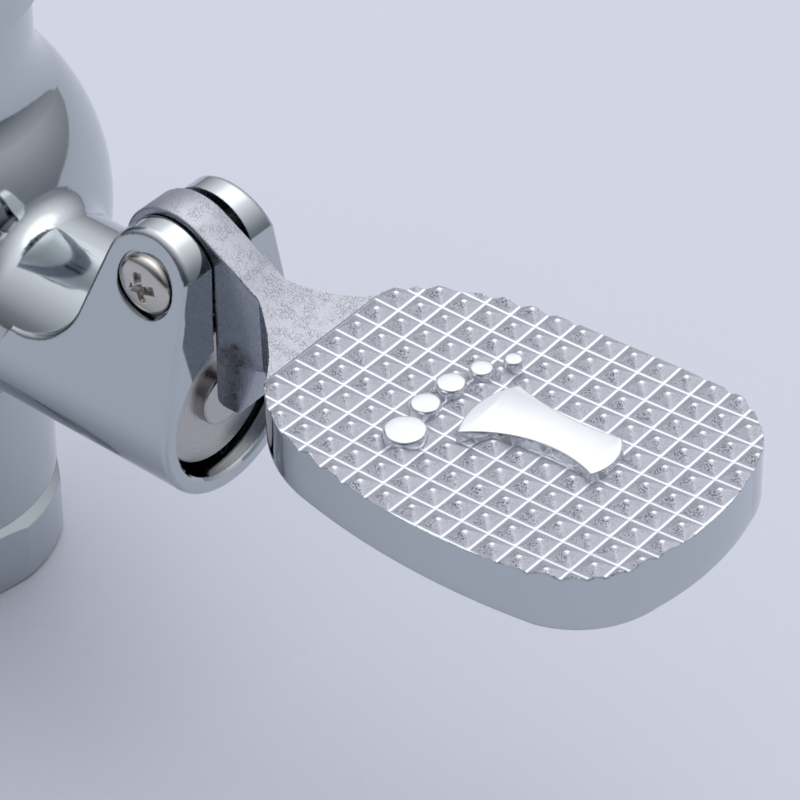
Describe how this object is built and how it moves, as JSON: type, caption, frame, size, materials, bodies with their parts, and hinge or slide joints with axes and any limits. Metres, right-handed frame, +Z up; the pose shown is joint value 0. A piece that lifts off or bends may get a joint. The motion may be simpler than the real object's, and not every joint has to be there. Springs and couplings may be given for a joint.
{
  "type": "foot pedal flush valve",
  "caption": "Flush valve with a piston in a round body, worked by a foot pedal on a clevis that pushes a sprung rod; union inlet and slip nut outlet",
  "frame": {"origin": "centre of the inlet tail's outer end face, which meets the supply pipe", "axes": "+X from the inlet toward the pedal, +Z up out of the cap, +Y away from the side with the screw head; the outlet points down"},
  "size_m": [0.2405, 0.071, 0.135],
  "materials": {
    "chrome": "plated casting, polished",
    "satin_plate": "plated casting, fine satin",
    "stainless": "turned stainless steel",
    "brass": "machined brass",
    "rubber": "black rubber",
    "plastic": "pale nylon"
  },
  "bodies": {
    "valve": {"valve_body": "chrome", "seat_ring": "brass", "top_cap": "chrome", "top_cap_o_ring": "rubber", "gland_bush": "brass", "rod_o_rings": "rubber", "gland_gasket": "rubber", "inlet_union_nut": "chrome", "inlet_tail": "chrome", "inlet_washer": "rubber", "outlet_nut": "chrome", "outlet_cone_washer": "rubber", "outlet_slip_ring": "plastic", "return_spring": "stainless", "pivot_screw": "stainless"},
    "pedal": {"pedal_lever": "satin_plate"},
    "rod": {"push_rod": "stainless", "spring_disc": "stainless", "rod_retaining_ring": "stainless"},
    "piston": {"piston": "brass", "piston_cup_seal": "rubber", "cup_seal_retainer": "brass", "seat_washer": "rubber", "piston_guide": "brass", "bleed_jet": "brass"},
    "relief": {"relief_valve_stem": "brass", "relief_valve_seal": "rubber"},
    "timing_ring": {"timing_screw_o_ring": "rubber"},
    "timing": {"timing_screw": "brass"}
  },
  "joints": [
    {"name": "pedal_pivot", "type": "hinge", "parent": "valve", "child": "pedal", "pos_m": [0.1465, 0, 0.0209], "axis": [0, 1, 0], "range_deg": [0, 14], "stiffness_Nm_per_rad": 2.5, "springref_deg": -14.32},
    {"name": "push_rod_slide", "type": "slide", "parent": "valve", "child": "rod", "axis": [-1, 0, 0], "range_m": [0, 0.0053], "deforming": ["return_spring"]},
    {"name": "piston_lift", "type": "slide", "parent": "valve", "child": "piston", "axis": [0, 0, 1], "range_m": [0, 0.008]},
    {"name": "relief_tilt", "type": "hinge", "parent": "piston", "child": "relief", "pos_m": [0.089, 0, 0.02405], "axis": [0, 1, 0], "range_deg": [0, 9.9]},
    {"name": "timing_rise", "type": "slide", "parent": "valve", "child": "timing_ring", "axis": [0, 0, 1], "range_m": [0, 0.003]},
    {"name": "timing_turn", "type": "hinge", "parent": "timing_ring", "child": "timing", "pos_m": [0.082, 0, 0.066], "axis": [0, 0, 1], "range_deg": [0, 1080]}
  ],
  "couplings": [
    {"joint": "push_rod_slide", "follows": "pedal_pivot", "m_per_rad": 0.0212},
    {"joint": "relief_tilt", "follows": "pedal_pivot", "ratio": 0.7},
    {"joint": "timing_rise", "follows": "timing_turn", "m_per_rad": 0.00015915}
  ]
}
